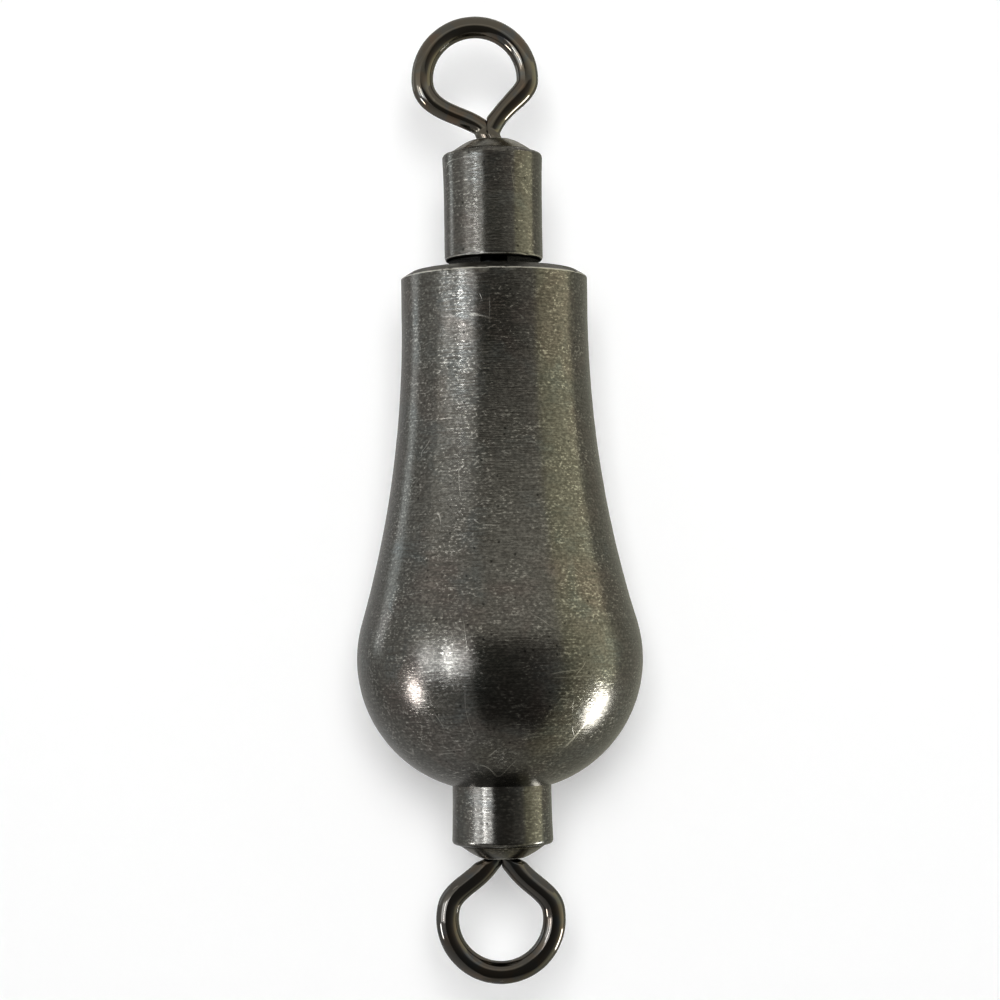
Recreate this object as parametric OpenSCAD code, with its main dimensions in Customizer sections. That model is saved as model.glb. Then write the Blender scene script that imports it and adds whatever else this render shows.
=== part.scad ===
// A turned bell-shaped sinker with a captured swivel at each end. It hangs with +Z up.
// The origin is the point where the line bears inside the upper ring, on the body's axis.

/* [Weight body] */
// Diameter of the bulb
bulb_d = 26; // [24:0.1:28]
// Diameter of the straight neck
neck_d = 17.05; // [15:0.05:19]
// Length of the straight neck, top edge included
neck_straight = 4.4; // [2:0.1:8]
// Height from the bulb's widest ring to the top face
bulb_from_top = 35.3; // [31:0.1:40]
// Radius of the bulb's turned profile
bulb_round_r = 12; // [11:0.1:12.8]
// Radius of the worn top edge
top_edge_r = 1; // [0.3:0.1:2]
// Width of the flat land round the lower barrel
foot_land = 0.25; // [0.1:0.05:0.6]

/* [Swivel barrels] */
// Outside diameter of a barrel
barrel_d = 9; // [8.6:0.05:9.8]
// Length of a barrel, floor to rim
barrel_len = 9.95; // [9:0.05:12]
// Wall thickness beside the heads
barrel_wall = 1; // [0.8:0.05:1.4]
// Wall thickness beside the nose bush
rim_wall = 0.5; // [0.4:0.05:0.7]
// Thickness of the floor
floor_t = 1.6; // [1:0.05:2]
// Radius of the floor's outer edge
floor_edge_r = 0.4; // [0.1:0.05:0.8]
// Radius of the rolled rim's outer edge
rim_edge_r = 0.42; // [0.2:0.02:0.5]
// How far rolling the rim swells the barrel's radius
rim_swell = 0.09; // [0:0.01:0.12]
// Length of the swollen stretch below the rim
swell_len = 4.8; // [2:0.1:5.2]
// Gap between the upper barrel and the weight
barrel_gap = 0.93; // [0.5:0.01:1.5]
// How far the lower barrel stands out of the weight
barrel_show = 5.38; // [5.3:0.01:6.5]

/* [Nose bushes] */
// Height of a bush's rim in its seat
seat_depth = 1.2; // [0.9:0.05:1.6]
// Height of the rim's bevel, which the rolled edge holds
bevel_h = 0.3; // [0.15:0.05:0.5]
// Width of the same bevel
bevel_w = 0.2; // [0.1:0.05:0.35]
// Height of the dome over the rim
dome_h = 1.09; // [0.8:0.01:1.4]
// Flat ring between the dome and the mouth
nose_land = 0.25; // [0.1:0.05:0.5]

/* [Wire eyes] */
// Diameter of the wire
wire_d = 2; // [1.8:0.05:2.2]
// Clear diameter of a ring
ring_bore_d = 7.65; // [7:0.05:8.2]
// Bend radius of the wire's middle where a ring turns into its legs
corner_r = 2.75; // [2.4:0.05:3]
// Inside radius of the bend from a leg into the shank
leg_bend_r = 0.3; // [0.2:0.05:0.5]
// Diameter of the shank that the two half-round legs form
shank_d = 2.3; // [2.15:0.05:2.5]
// Width of the slit between the legs
slit_w = 0.1; // [0.05:0.01:0.16]
// Height of the upper ring's centre over its nose
upper_ring_reach = 5.86; // [5.5:0.02:6.6]
// How far the upper ring sits to the left of the axis
upper_ring_shift = 1.3; // [0:0.05:1.5]
// Straight shank that shows between the upper nose and its legs
upper_neck = 0.6; // [0.2:0.05:1]
// Height of the upper crotch over its nose
upper_crotch = 1.81; // [1.5:0.01:2]
// Height of the lower ring's centre over its nose
lower_ring_reach = 5.67; // [5.4:0.02:6.4]
// How far the lower ring sits to the left of the axis
lower_ring_shift = 0.2; // [0:0.05:0.6]
// How deep the lower legs' bends sink into the nose's mouth
lower_leg_sink = 0.43; // [0.2:0.01:0.5]
// Height of the lower crotch over its nose
lower_crotch = 0.85; // [0.7:0.01:1.1]

/* [Heads, pin and washers] */
// Diameter of the pin between the weight and the upper barrel
pin_d = 2.5; // [2.2:0.05:2.8]
// Depth of the pin in the weight
pin_depth = 8; // [5:0.1:12]
// Thickness of a thrust washer
washer_t = 0.5; // [0.3:0.05:0.7]
// Height of a shank's peened end
peen_t = 0.45; // [0.3:0.05:0.6]
// How far a peened end spreads past its shank
peen_w = 0.45; // [0.2:0.05:0.7]
// Free room between the two heads in the upper barrel
core_gap = 1.2; // [1.05:0.05:1.6]

/* [Fits] */
// Radial clearance of a shank or pin that turns in its hole
run_clear = 0.05; // [0.02:0.01:0.08]
// Axial clearance under each thrust washer
end_float = 0.05; // [0.02:0.01:0.1]
// Radial clearance of a head in its barrel
head_clear = 0.3; // [0.25:0.05:0.8]
// Radial clearance of a thrust washer in its barrel
washer_clear = 0.2; // [0.1:0.05:0.3]
// Depth of the nose's mouth past the lower legs' bends
mouth_margin = 0.12; // [0.1:0.01:0.2]

/* [Hidden] */
$fn = 96;
// Overrun of every cut
over = 1;
// Small bevel on the heads' and collars' outer edges
head_bevel = 0.3;
// Half angle of the drill point at the end of the pin's hole
drill_half_angle = 59;
// How far a leg's tube stays inside the shank, and a crotch's cut goes past the wire's edge
blend_inset = 0.03;
// How much thinner the ring and the slopes are drawn than the bends whose ends they run into
seam_step = 0.005;
// How far they run into them
seam_len = 0.1;
// Height of the shank's bevelled shoulder, and of the straight part that it has past the bends' ends
shoulder_h = 0.2;

wire_r = wire_d / 2;
shank_r = shank_d / 2;
pin_r = pin_d / 2;
ring_bore_r = ring_bore_d / 2;
ring_mid_r = ring_bore_r + wire_r;
leg_mid_r = leg_bend_r + wire_r;
// Where a ring's corner and the bend into the shank have their middles, for a ring that isn't shifted
corner_mid_x = ring_mid_r - corner_r;
bend_x = shank_r - wire_r - blend_inset + leg_mid_r;

barrel_r = barrel_d / 2;
bore_r = barrel_r - barrel_wall;
seat_r = barrel_r - rim_wall;
rim_r = barrel_r + rim_swell;
head_r = bore_r - head_clear;
washer_r = bore_r - washer_clear;

mouth_depth = lower_leg_sink + mouth_margin;
bush_bore_r = shank_r + run_clear;
mouth_r = bush_bore_r + mouth_depth;
nose_r = mouth_r + nose_land;
dome_foot_r = seat_r - bevel_w;
dome_mid_z = (pow(nose_r, 2) + pow(dome_h, 2) - pow(dome_foot_r, 2)) / (2 * dome_h);
dome_r = sqrt(pow(dome_foot_r, 2) + pow(dome_mid_z, 2));

// Heights in a barrel's own frame, with the rim at zero and the nose upwards
washer_top_z = -seat_depth - end_float;
head_top_z = washer_top_z - washer_t;
cavity_len = barrel_len - floor_t - seat_depth;
head_t = (cavity_len - core_gap - peen_t) / 2 - end_float - washer_t;
head_foot_z = head_top_z - head_t;
shank_foot_z = head_foot_z - peen_t;
floor_z = -barrel_len + floor_t;
pin_washer_z = floor_z + end_float;
pin_head_z = pin_washer_z + washer_t;

// Heights in the part's frame, from the hanging point down
upper_ring_z = -sqrt(pow(ring_bore_r, 2) - pow(upper_ring_shift, 2));
upper_rim_z = upper_ring_z - upper_ring_reach - dome_h;
weight_top_z = upper_rim_z - barrel_len - barrel_gap;

// The weight's turned outline: a straight neck, a hollow flare and the bulb, each tangent to the next
neck_r = neck_d / 2;
bulb_mid_r = bulb_d / 2 - bulb_round_r;
flare_drop = bulb_from_top - neck_straight;
neck_offset = neck_r - bulb_mid_r;
flare_r = (pow(flare_drop, 2) + pow(neck_offset, 2) - pow(bulb_round_r, 2))
          / (2 * (bulb_round_r - neck_offset));
flare_angle = atan2(flare_drop, neck_offset + flare_r);
foot_r = barrel_r + foot_land;
foot_drop = sqrt(pow(bulb_round_r, 2) - pow(foot_r - bulb_mid_r, 2));
foot_angle = -atan2(foot_drop, foot_r - bulb_mid_r);
weight_len = bulb_from_top + foot_drop;
lower_rim_z = weight_top_z - weight_len - barrel_show;

// Points of an arc round [x, y], both ends included
function arc(x, y, r, from, to, steps) =
    [for (i = [0:steps]) let (a = from + (to - from) * i / steps) [x + r * cos(a), y + r * sin(a)]];

// A leg's slope is the line that touches both of its bends, so it follows from where they are
function slope_length(corner_x, drop) =
    sqrt(pow(corner_x - bend_x, 2) + pow(drop, 2) - pow(corner_r + leg_mid_r, 2));
function slope_angle(corner_x, drop) =
    atan2(drop, corner_x - bend_x) - atan2(corner_r + leg_mid_r, slope_length(corner_x, drop));

function upper_outline() = concat(
    [[0, 0]],
    arc(neck_r - top_edge_r, -top_edge_r, top_edge_r, 90, 0, 8)
);
function flare_outline() = arc(neck_r + flare_r, -neck_straight, flare_r, 180, 180 + flare_angle, 18);
function bulb_outline() = arc(bulb_mid_r, -bulb_from_top, bulb_round_r, flare_angle, foot_angle, 36);

// The barrel's outer side, which swells towards the rolled rim
function swell_outline() =
    [for (i = [0:8]) let (t = i / 8)
        [barrel_r + rim_swell * pow(t, 2), -swell_len + t * (swell_len - rim_edge_r)]];

// Puts a swivel's parts at its barrel's rim, the lower one upside down
module at_upper() {
    translate([0, 0, upper_rim_z]) children();
}

module at_lower() {
    translate([0, 0, lower_rim_z]) rotate([180, 0, 0]) children();
}

// A cup whose rim is rolled over the bush
module barrel_cup() {
    rotate_extrude()
        polygon(concat(
            [[0, -barrel_len]],
            arc(barrel_r - floor_edge_r, -barrel_len + floor_edge_r, floor_edge_r, -90, 0, 6),
            swell_outline(),
            arc(rim_r - rim_edge_r, -rim_edge_r, rim_edge_r, 0, 90, 8),
            [[dome_foot_r, 0], [seat_r, -bevel_h], [seat_r, -seat_depth], [bore_r, -seat_depth],
             [bore_r, floor_z], [0, floor_z]]
        ));
}

// A domed bush with a flared mouth
module nose_bush() {
    dome_foot_angle = acos(dome_foot_r / dome_r);
    dome_nose_angle = acos(nose_r / dome_r);
    rotate_extrude()
        polygon(concat(
            [[bush_bore_r, -seat_depth], [seat_r, -seat_depth], [seat_r, -bevel_h]],
            arc(0, dome_mid_z, dome_r, dome_foot_angle, dome_nose_angle, 10),
            [[mouth_r, dome_h], [bush_bore_r, dome_h - mouth_depth]]
        ));
}

// A flat ring between two heights
module washer(hole_r, low_z) {
    translate([0, 0, low_z])
        difference() {
            cylinder(h = washer_t, r = washer_r);
            translate([0, 0, -over]) cylinder(h = washer_t + 2 * over, r = hole_r);
        }
}

// The head that keeps a shank in its barrel
module head_collar() {
    rotate_extrude()
        polygon([[shank_r, head_foot_z], [head_r - head_bevel, head_foot_z],
                 [head_r, head_foot_z + head_bevel], [head_r, head_top_z], [shank_r, head_top_z]]);
}

// A bent length of wire in the XZ plane
module wire_arc(x, z, bend_r, from, to, r = wire_r) {
    translate([x, 0, z]) rotate([90, 0, 0]) rotate([0, 0, from])
        rotate_extrude(angle = to - from)
            translate([bend_r, 0]) circle(r = r);
}

// One leg of an eye, drawn on the +X side: the ring's corner, the slope and the bend into the shank
module eye_leg(corner_x, ring_z, bend_z) {
    drop = ring_z - bend_z;
    slope = slope_angle(corner_x, drop);
    slope_len = slope_length(corner_x, drop);
    side = corner_x + corner_r + wire_r;
    intersection() {
        union() {
            wire_arc(corner_x, ring_z, corner_r, slope - 90, 0);
            translate([bend_x - leg_mid_r * sin(slope), 0, bend_z + leg_mid_r * cos(slope)])
                rotate([0, 90 - slope, 0])
                    translate([0, 0, -seam_len])
                        cylinder(h = slope_len + 2 * seam_len, r = wire_r - seam_step);
            wire_arc(bend_x, bend_z, leg_mid_r, 90 + slope, 180);
        }
        translate([slit_w / 2, -wire_d, bend_z - over]) cube([side, 2 * wire_d, drop + 2 * over]);
    }
}

// The cut that leaves a leg's inner face flat and rounds it into the slit
module crotch_cut(corner_x, ring_z, bend_z, crotch_z) {
    slope = slope_angle(corner_x, ring_z - bend_z);
    edge_x = corner_x + (corner_r - wire_r) * sin(slope);
    edge_z = ring_z - (corner_r - wire_r) * cos(slope);
    cut_r = (blend_inset + (slit_w / 2 - edge_x) * sin(slope) + (edge_z - crotch_z) * cos(slope))
            / (1 - sin(slope));
    cut_x = slit_w / 2 + cut_r;
    rotate([90, 0, 0])
        linear_extrude(height = 2 * wire_d, center = true)
            difference() {
                translate([0, crotch_z]) square([cut_x - cut_r * sin(slope), cut_r * cos(slope)]);
                translate([cut_x, crotch_z]) circle(r = cut_r);
            }
}

// The round shank, split along its middle and peened over the head
module eye_shank(bend_z) {
    top_z = bend_z + 2 * shoulder_h;
    difference() {
        rotate_extrude()
            polygon([[0, shank_foot_z], [shank_r, shank_foot_z],
                     [shank_r + peen_w, head_foot_z - peen_t / 2],
                     [shank_r + peen_w, head_foot_z], [shank_r, head_foot_z],
                     [shank_r, top_z - shoulder_h], [shank_r - shoulder_h, top_z], [0, top_z]]);
        translate([-slit_w / 2, -shank_r - peen_w - over, shank_foot_z - over])
            cube([slit_w, 2 * (shank_r + peen_w + over), top_z - shank_foot_z + 2 * over]);
    }
}

// A wire eye: the ring's half circle, its two legs and the shank. Heights start at the barrel's rim.
module wire_eye(ring_shift, ring_reach, neck, crotch) {
    ring_z = dome_h + ring_reach;
    bend_z = dome_h + neck;
    crotch_z = dome_h + crotch;
    seam_angle = seam_len / ring_mid_r * 180 / PI;
    difference() {
        union() {
            wire_arc(-ring_shift, ring_z, ring_mid_r, -seam_angle, 180 + seam_angle, wire_r - seam_step);
            eye_leg(corner_mid_x - ring_shift, ring_z, bend_z);
            mirror([1, 0, 0]) eye_leg(corner_mid_x + ring_shift, ring_z, bend_z);
            eye_shank(bend_z);
        }
        crotch_cut(corner_mid_x - ring_shift, ring_z, bend_z, crotch_z);
        mirror([1, 0, 0]) crotch_cut(corner_mid_x + ring_shift, ring_z, bend_z, crotch_z);
    }
}

module upper_eye() {
    color([0.16, 0.15, 0.14])
        at_upper() wire_eye(upper_ring_shift, upper_ring_reach, upper_neck, upper_crotch);
}

module upper_head_collar() {
    color([0.5, 0.5, 0.52]) at_upper() head_collar();
}

module upper_thrust_washer() {
    color([0.66, 0.53, 0.3]) at_upper() washer(shank_r, head_top_z);
}

module upper_nose_bush() {
    color([0.3, 0.29, 0.25]) at_upper() nose_bush();
}

module upper_barrel() {
    color([0.24, 0.24, 0.23])
        at_upper()
            difference() {
                barrel_cup();
                translate([0, 0, -barrel_len - over])
                    cylinder(h = floor_t + 2 * over, r = pin_r + run_clear);
            }
}

module pin_thrust_washer() {
    color([0.66, 0.53, 0.3]) at_upper() washer(pin_r, pin_washer_z);
}

// A headed pin, pressed into the weight, on which the upper barrel turns
module swivel_pin() {
    pin_foot_z = -barrel_len - barrel_gap - pin_depth;
    pin_top_z = pin_head_z + head_t;
    color([0.5, 0.5, 0.52])
        at_upper()
            rotate_extrude()
                polygon([[0, pin_foot_z], [pin_r, pin_foot_z], [pin_r, pin_head_z], [head_r, pin_head_z],
                         [head_r, pin_top_z - head_bevel], [head_r - head_bevel, pin_top_z],
                         [0, pin_top_z]]);
}

module weight_body() {
    socket_depth = barrel_len - barrel_show;
    drill_tip = pin_r / tan(drill_half_angle);
    color([0.27, 0.27, 0.26])
        translate([0, 0, weight_top_z])
            difference() {
                rotate_extrude()
                    polygon(concat(upper_outline(), flare_outline(), bulb_outline(), [[0, -weight_len]]));
                rotate_extrude()
                    polygon([[0, -pin_depth - drill_tip], [pin_r, -pin_depth], [pin_r, over], [0, over]]);
                translate([0, 0, -weight_len - over])
                    cylinder(h = socket_depth + over, r = barrel_r);
            }
}

module lower_barrel() {
    color([0.24, 0.24, 0.23]) at_lower() barrel_cup();
}

module lower_nose_bush() {
    color([0.3, 0.29, 0.25]) at_lower() nose_bush();
}

module lower_thrust_washer() {
    color([0.66, 0.53, 0.3]) at_lower() washer(shank_r, head_top_z);
}

module lower_head_collar() {
    color([0.5, 0.5, 0.52]) at_lower() head_collar();
}

module lower_eye() {
    color([0.13, 0.13, 0.13])
        at_lower() wire_eye(lower_ring_shift, lower_ring_reach, -lower_leg_sink, lower_crotch);
}

upper_eye();
upper_head_collar();
upper_thrust_washer();
upper_nose_bush();
upper_barrel();
pin_thrust_washer();
swivel_pin();
weight_body();
lower_barrel();
lower_nose_bush();
lower_thrust_washer();
lower_head_collar();
lower_eye();
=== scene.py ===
import math

import bpy
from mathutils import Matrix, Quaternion, Vector
from mathutils.geometry import interpolate_bezier


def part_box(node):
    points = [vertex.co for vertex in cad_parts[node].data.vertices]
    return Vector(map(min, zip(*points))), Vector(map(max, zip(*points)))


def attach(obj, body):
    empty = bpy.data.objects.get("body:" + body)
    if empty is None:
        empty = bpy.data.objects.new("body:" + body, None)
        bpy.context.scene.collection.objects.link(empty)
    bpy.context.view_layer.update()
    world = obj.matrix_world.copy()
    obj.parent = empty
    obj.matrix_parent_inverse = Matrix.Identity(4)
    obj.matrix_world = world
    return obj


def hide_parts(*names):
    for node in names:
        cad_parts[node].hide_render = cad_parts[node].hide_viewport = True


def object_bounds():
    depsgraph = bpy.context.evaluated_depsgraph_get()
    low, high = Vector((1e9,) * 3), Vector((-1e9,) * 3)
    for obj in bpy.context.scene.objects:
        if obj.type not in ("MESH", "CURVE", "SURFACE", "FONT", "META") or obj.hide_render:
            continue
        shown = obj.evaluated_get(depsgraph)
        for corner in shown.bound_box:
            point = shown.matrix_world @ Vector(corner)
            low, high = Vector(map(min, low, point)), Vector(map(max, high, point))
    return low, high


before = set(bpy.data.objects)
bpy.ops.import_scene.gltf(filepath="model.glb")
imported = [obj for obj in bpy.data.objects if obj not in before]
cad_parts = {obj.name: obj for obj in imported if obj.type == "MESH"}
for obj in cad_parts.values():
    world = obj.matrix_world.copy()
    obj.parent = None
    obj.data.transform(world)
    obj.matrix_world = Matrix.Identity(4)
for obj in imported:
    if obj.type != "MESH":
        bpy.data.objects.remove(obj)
cadLow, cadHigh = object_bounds()
mm = 0.001  # sizes below are in millimetres and turned into metres with this
print("frame loaded:", len(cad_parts), "nodes")


# Small helpers for node trees

def addNode(tree, kind, **settings):
    node = tree.nodes.new(kind)
    for name, value in settings.items():
        setattr(node, name, value)
    return node


def feed(tree, socket, value):
    if isinstance(value, bpy.types.NodeSocket):
        tree.links.new(value, socket)
    else:
        socket.default_value = value


def fedNode(tree, kind, values, **settings):
    node = addNode(tree, kind, **settings)
    for name, value in values.items():
        feed(tree, node.inputs[name], value)
    return node


def firstOutput(tree, kind, values, **settings):
    return fedNode(tree, kind, values, **settings).outputs[0]


def calc(tree, operation, *values, clamp=False):
    node = addNode(tree, "ShaderNodeMath", operation=operation, use_clamp=clamp)
    for socket, value in zip(node.inputs, values):
        feed(tree, socket, value)
    return node.outputs[0]


def times(tree, first, second):
    return calc(tree, "MULTIPLY", first, second)


def plus(tree, first, second):
    return calc(tree, "ADD", first, second)


def minus(tree, first, second):
    return calc(tree, "SUBTRACT", first, second)


def most(tree, *values):
    highest = values[0]
    for value in values[1:]:
        highest = calc(tree, "MAXIMUM", highest, value)
    return highest


def vectorCalc(tree, operation, *values):
    node = addNode(tree, "ShaderNodeVectorMath", operation=operation)
    for socket, value in zip(node.inputs, values):
        feed(tree, socket, value)
    return node.outputs[0]


def scaleVector(tree, vector, factor):
    values = {"Vector": vector, "Scale": factor}
    return firstOutput(tree, "ShaderNodeVectorMath", values, operation="SCALE")


def inUnits(tree, vector, size):
    return scaleVector(tree, vector, calc(tree, "DIVIDE", 1.0, size))


def joinVector(tree, x, y, z):
    return firstOutput(tree, "ShaderNodeCombineXYZ", {"X": x, "Y": y, "Z": z})


def splitVector(tree, vector):
    return fedNode(tree, "ShaderNodeSeparateXYZ", {"Vector": vector}).outputs


def distanceFromAxis(tree, x, y):
    return calc(tree, "SQRT", plus(tree, times(tree, x, x), times(tree, y, y)))


def ramp(tree, value, low, high, toLow=0.0, toHigh=1.0, smooth=True):
    kind = "SMOOTHSTEP" if smooth else "LINEAR"
    node = addNode(tree, "ShaderNodeMapRange", interpolation_type=kind)
    for socket, given in zip(node.inputs, (value, low, high, toLow, toHigh)):
        feed(tree, socket, given)
    return node.outputs[0]


def blendColor(tree, factor, first, second):
    node = addNode(tree, "ShaderNodeMix", data_type="RGBA")
    feed(tree, node.inputs[0], factor)
    feed(tree, node.inputs[6], first)
    feed(tree, node.inputs[7], second)
    return node.outputs[2]


def blendValue(tree, factor, first, second):
    node = addNode(tree, "ShaderNodeMix", data_type="FLOAT")
    feed(tree, node.inputs[0], factor)
    feed(tree, node.inputs[2], first)
    feed(tree, node.inputs[3], second)
    return node.outputs[0]


def noise(tree, vector, scale=1.0, detail=2.0, roughness=0.5, distortion=0.0):
    values = {"Vector": vector, "Scale": scale, "Detail": detail, "Roughness": roughness,
              "Distortion": distortion}
    return firstOutput(tree, "ShaderNodeTexNoise", values)


def newGroup(name, inputs, outputs, kind="ShaderNodeTree"):
    tree = bpy.data.node_groups.new(name, kind)
    for side, sockets in (("INPUT", inputs), ("OUTPUT", outputs)):
        for socketName, valueKind, *start in sockets:
            socketKind = "NodeSocket" + valueKind
            socket = tree.interface.new_socket(socketName, in_out=side, socket_type=socketKind)
            if start:
                socket.default_value = start[0]
    return tree, addNode(tree, "NodeGroupInput").outputs, addNode(tree, "NodeGroupOutput").inputs


def placeGroup(tree, group, **values):
    return fedNode(tree, "ShaderNodeGroup", values, node_tree=group).outputs


# Camera

cameraSet = {
    "lens": 97.55, "distance": 247, "elevation": -2.8, "roll": -0.9, "aimX": 0.23, "aimZ": -42.3,
    "clipStart": 10, "clipEnd": 20000,
}


def makeCamera(s):
    lean = math.radians(s["elevation"])
    back = Vector((0, -math.cos(lean), math.sin(lean)))
    data = bpy.data.cameras.new("camera")
    data.lens = s["lens"]
    data.clip_start = s["clipStart"] * mm
    data.clip_end = s["clipEnd"] * mm
    camera = bpy.data.objects.new("camera", data)
    camera.location = Vector((s["aimX"], 0, s["aimZ"])) * mm + back * s["distance"] * mm
    camera.rotation_mode = "QUATERNION"
    turn = Quaternion(back, math.radians(s["roll"]))
    camera.rotation_quaternion = turn @ (-back).to_track_quat("-Z", "Y")
    bpy.context.scene.collection.objects.link(camera)
    bpy.context.scene.camera = camera


makeCamera(cameraSet)
bpy.context.scene.view_settings.view_transform = "Standard"
print("camera placed")


# Light: a window on the left, as two panes and a bright strip, two small low lamps, and a front lamp
# that lights only the paper. Directions are degrees round the object from the camera, + to the right,
# and degrees up.

paneColor = (0.97, 0.98, 1.0)
lampSet = {
    "windowLeft": {"turn": -58.5, "rise": 0.5, "distance": 420, "width": 122, "height": 172,
                   "radiance": 3.6, "color": paneColor, "onPaper": False},
    "windowRight": {"turn": -35, "rise": 0.5, "distance": 420, "width": 160, "height": 172,
                    "radiance": 3.4, "color": paneColor, "onPaper": False},
    "windowCore": {"turn": -41, "rise": 0.5, "distance": 412, "width": 22, "height": 160,
                   "radiance": 19, "color": paneColor, "onPaper": False},
    "lowLeft": {"turn": -75, "rise": -22, "distance": 260, "width": 46, "height": 60,
                "radiance": 18, "color": (1.0, 0.99, 0.98), "onPaper": False},
    "lowRight": {"turn": 97, "rise": -31, "distance": 260, "width": 72, "height": 84,
                 "radiance": 19, "color": (1.0, 0.99, 0.94), "onPaper": False},
    "front": {"turn": 0, "rise": 11, "distance": 420, "width": 160, "height": 160,
              "radiance": 17.5, "color": (1.0, 1.0, 1.0), "onPaper": True},
}
lightMidZ = -50  # height that the lamps and cards face


def spot(turn, rise, distance):
    a, e = math.radians(turn), math.radians(rise)
    way = Vector((math.sin(a) * math.cos(e), -math.cos(a) * math.cos(e), math.sin(e)))
    return way * distance * mm + Vector((0, 0, lightMidZ)) * mm, way


def makeLamp(name, s):
    place, way = spot(s["turn"], s["rise"], s["distance"])
    data = bpy.data.lights.new(name, "AREA")
    data.shape = "RECTANGLE"
    data.size = s["width"] * mm
    data.size_y = s["height"] * mm
    data.energy = s["radiance"] * math.pi * data.size * data.size_y
    data.color = s["color"]
    lamp = bpy.data.objects.new(name, data)
    lamp.location = place
    lamp.rotation_mode = "QUATERNION"
    lamp.rotation_quaternion = (-way).to_track_quat("-Z", "Y")
    lamp.visible_camera = False
    lamp.visible_diffuse = s["onPaper"]
    lamp.visible_glossy = not s["onPaper"]
    lamp.visible_transmission = not s["onPaper"]
    bpy.context.scene.collection.objects.link(lamp)


for lampName, lampValues in lampSet.items():
    makeLamp(lampName, lampValues)

# Curved cards round the object, which the metal mirrors and the camera doesn't see. Turns and rises
# are in degrees; shades are the brightness at the low left, low right, high left and high right corners.
cardSet = {
    "darkCard": {"turns": (-23, 52), "rises": (-56, 15), "distance": 400, "bend": 3.2,
                 "shades": (0.06, 0.08, 0.1, 0.5), "tint": (1.0, 0.97, 0.88, 1)},
    "duskCard": {"turns": (-23, 52), "rises": (-76, -56), "distance": 400,
                 "shades": (0.55, 0.55, 0.13, 0.13), "tint": (1.0, 0.97, 0.88, 1)},
    "riseCard": {"turns": (-23, 52), "rises": (15, 32), "distance": 400,
                 "shades": (0.22, 0.6, 1.1, 1.3), "tint": (1.0, 0.97, 0.86, 1)},
    "windowTop": {"turns": (-74, -23), "rises": (9, 32), "distance": 400,
                  "shades": (1.35, 1.25, 0.7, 0.6), "tint": (1.0, 0.98, 0.9, 1)},
    "windowBack": {"turns": (-74, -23), "rises": (-20, 12), "distance": 440,
                   "shades": (0.7, 0.4, 0.9, 0.6), "tint": (1.0, 1.0, 1.0, 1)},
    "warmCard": {"turns": (52, 104), "rises": (-14, 32), "distance": 400,
                 "shades": (0.3, 2.0, 1.3, 1.6), "tint": (1.0, 0.965, 0.7, 1)},
    "warmLow": {"turns": (52, 104), "rises": (-76, -14), "distance": 400,
                "shades": (0.4, 0.5, 0.25, 2.0), "tint": (1.0, 0.97, 0.72, 1)},
    "rightWing": {"turns": (104, 180), "rises": (-76, 32), "distance": 480,
                  "shades": (0.5, 0.35, 0.62, 0.25), "tint": (1.0, 0.98, 0.8, 1)},
    "leftWing": {"turns": (-180, -128), "rises": (-76, 32), "distance": 480,
                 "shades": (0.4, 0.5, 0.28, 0.5), "tint": (1.0, 0.99, 0.95, 1)},
    "leftCard": {"turns": (-128, -74), "rises": (-20, 32), "distance": 440,
                 "shades": (0.3, 0.8, 0.6, 0.7), "tint": (1.0, 0.99, 0.93, 1)},
    "leftStrip": {"turns": (-121, -108), "rises": (3, 34), "distance": 400,
                  "shades": (1.7, 1.7, 1.7, 1.7), "tint": (0.95, 1.0, 1.0, 1)},
    "leftLow": {"turns": (-128, -23), "rises": (-76, -20), "distance": 440,
                "shades": (0.7, 0.6, 0.5, 0.3), "tint": (1.0, 0.98, 0.93, 1)},
    "topCard": {"turns": (-180, 180), "rises": (32, 88), "distance": 460,
                "shades": (0.7, 0.7, 0.7, 0.7), "tint": (1.0, 0.97, 0.88, 1)},
    "lowCard": {"turns": (-180, 180), "rises": (-88, -74), "distance": 240,
                "shades": (0.42, 0.42, 0.42, 0.42), "tint": (1.0, 0.97, 0.85, 1)},
}
stageSet = {
    "sheetGap": 1.0, "sheetHalf": 900, "floorDrop": 460, "floorHalf": 4500,
    "paper": (0.74, 0.74, 0.74, 1), "sheetGlow": 0.33, "floorGlow": 0.85, "fillLevel": 0.24,
}


def makePanel(name, points, faces, material):
    mesh = bpy.data.meshes.new(name)
    mesh.from_pydata(points, [], faces)
    mesh.materials.append(material)
    plane = bpy.data.objects.new(name, mesh)
    bpy.context.scene.collection.objects.link(plane)
    return plane


def newMaterial(name):
    material = bpy.data.materials.new(name)
    material.use_nodes = True
    tree = material.node_tree
    tree.nodes.clear()
    return material, tree, addNode(tree, "ShaderNodeOutputMaterial").inputs["Surface"]


def readAttribute(tree, name):
    return addNode(tree, "ShaderNodeAttribute", attribute_name=name).outputs["Fac"]


def seenByEye(tree):
    # 1 where the camera looks, straight or by way of metal or glass
    rays = addNode(tree, "ShaderNodeLightPath").outputs
    return most(tree, rays["Is Camera Ray"], rays["Is Glossy Ray"], rays["Is Transmission Ray"])


def cardMaterial(name, tint):
    material, tree, surface = newMaterial(name)
    values = {"Color": tint, "Strength": readAttribute(tree, "shade")}
    feed(tree, surface, firstOutput(tree, "ShaderNodeEmission", values))
    return material


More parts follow.
